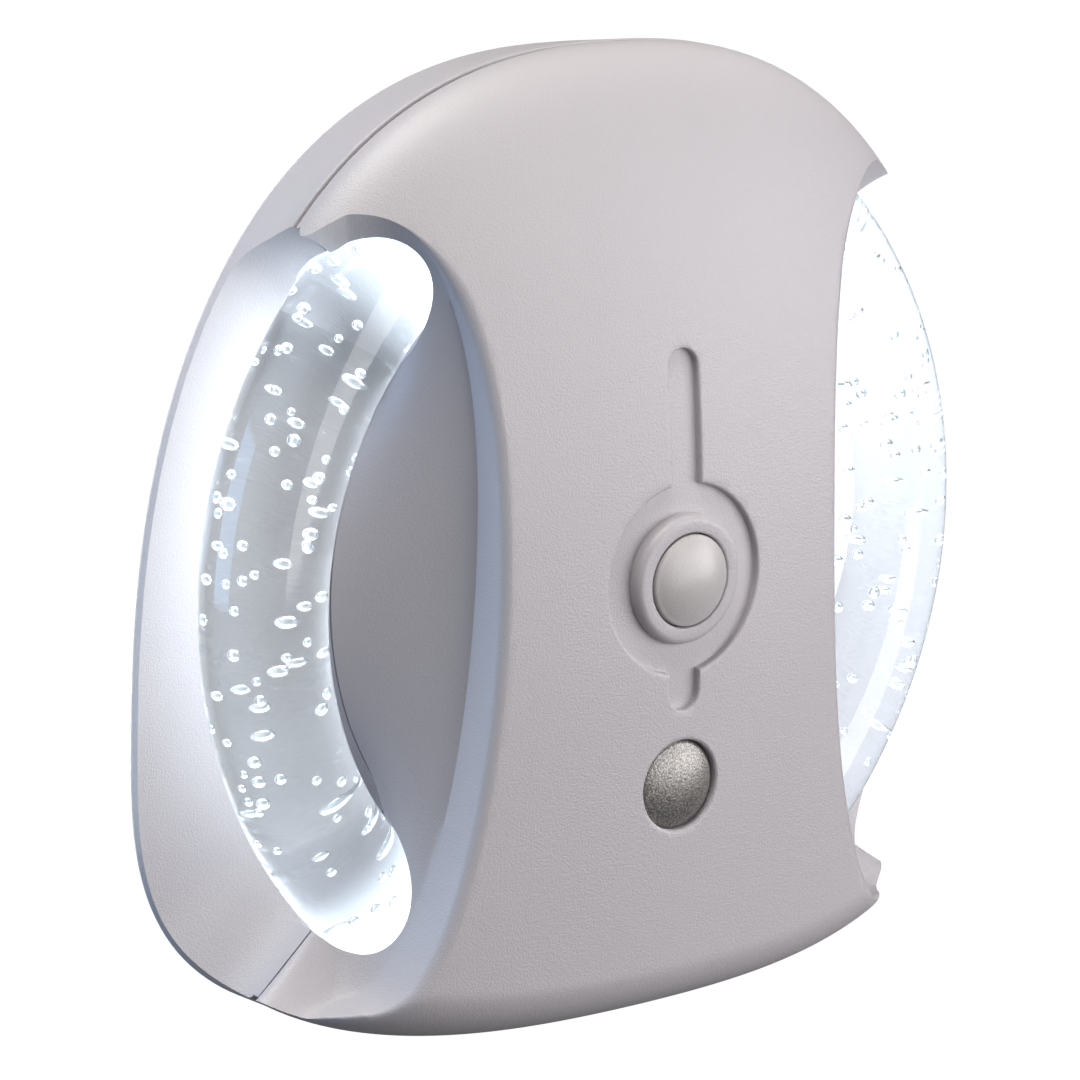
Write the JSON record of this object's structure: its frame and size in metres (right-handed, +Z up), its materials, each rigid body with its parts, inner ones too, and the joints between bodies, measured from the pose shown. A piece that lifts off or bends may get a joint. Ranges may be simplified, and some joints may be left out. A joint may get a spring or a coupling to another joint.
{
  "type": "night_light",
  "caption": "Plug-in night light: rounded two-part pearl housing with side pockets bridged by curved bubble acrylic light rods, a push button and a light sensor",
  "frame": {"origin": "Middle of the two blades on the back face, where the housing meets the wall plate", "axes": "+Y into the wall, along the blades; -Y is the front face; +Z up; +X to the right seen from the front"},
  "size_m": [0.098, 0.044, 0.0988],
  "materials": {
    "pearl_plastic": "satin pearl warm grey ABS with a fine orange peel",
    "bubble_acrylic": "polished clear acrylic full of small bubbles, lit white from both ends",
    "black_plastic": "satin moulded",
    "plated_steel": "zinc plated",
    "grey_plastic": "satin moulded",
    "smoked_lens": "smoked grey, finely pebbled",
    "photocell_resin": "clear coat over an orange ceramic",
    "board_laminate": "green solder mask",
    "red_epoxy": "dipped epoxy",
    "capacitor_sleeve": "shrunk dark blue sleeve",
    "green_lacquer": "lacquered",
    "beige_lacquer": "lacquered",
    "blue_lacquer": "lacquered",
    "white_plastic": "satin moulded",
    "white_insulation": "satin extruded PVC",
    "black_insulation": "satin extruded PVC",
    "lamp_epoxy": "water clear epoxy",
    "plug_brass": "stamped, nickel free"
  },
  "bodies": {
    "housing": {"front_housing": "pearl_plastic", "rear_housing": "pearl_plastic", "light_rod_left": "bubble_acrylic", "light_rod_right": "bubble_acrylic", "switch_dome": "plated_steel", "switch_body": "grey_plastic", "sensor_lens": "smoked_lens", "photocell": "photocell_resin", "sensor_sleeve": "black_plastic", "circuit_board": "board_laminate", "film_capacitor": "red_epoxy", "filter_capacitor": "capacitor_sleeve", "bridge_rectifier": "black_plastic", "fuse_resistor": "green_lacquer", "bleed_resistor": "beige_lacquer", "dropper_resistor": "blue_lacquer", "control_chip": "black_plastic", "led_top_left": "lamp_epoxy", "led_top_right": "lamp_epoxy", "led_low_left": "lamp_epoxy", "led_low_right": "lamp_epoxy", "led_cup_top_left": "white_plastic", "led_cup_top_right": "white_plastic", "led_cup_low_left": "white_plastic", "led_cup_low_right": "white_plastic", "led_wires_top_left": "white_insulation", "led_wires_top_right": "white_insulation", "led_wires_low_left": "white_insulation", "led_wires_low_right": "white_insulation", "blade_left": "plug_brass", "blade_right": "plug_brass", "blade_plate": "white_plastic", "supply_lead_left": "black_insulation", "supply_lead_right": "white_insulation", "housing_screws": "plated_steel", "board_screws": "plated_steel", "plate_screws": "plated_steel"},
    "button": {"push_button": "pearl_plastic", "switch_plunger": "black_plastic"}
  },
  "joints": [
    {"name": "button_press", "type": "slide", "parent": "housing", "child": "button", "axis": [0, 1, 0], "range_m": [0, 0.001], "stiffness_N_per_m": 1500}
  ]
}
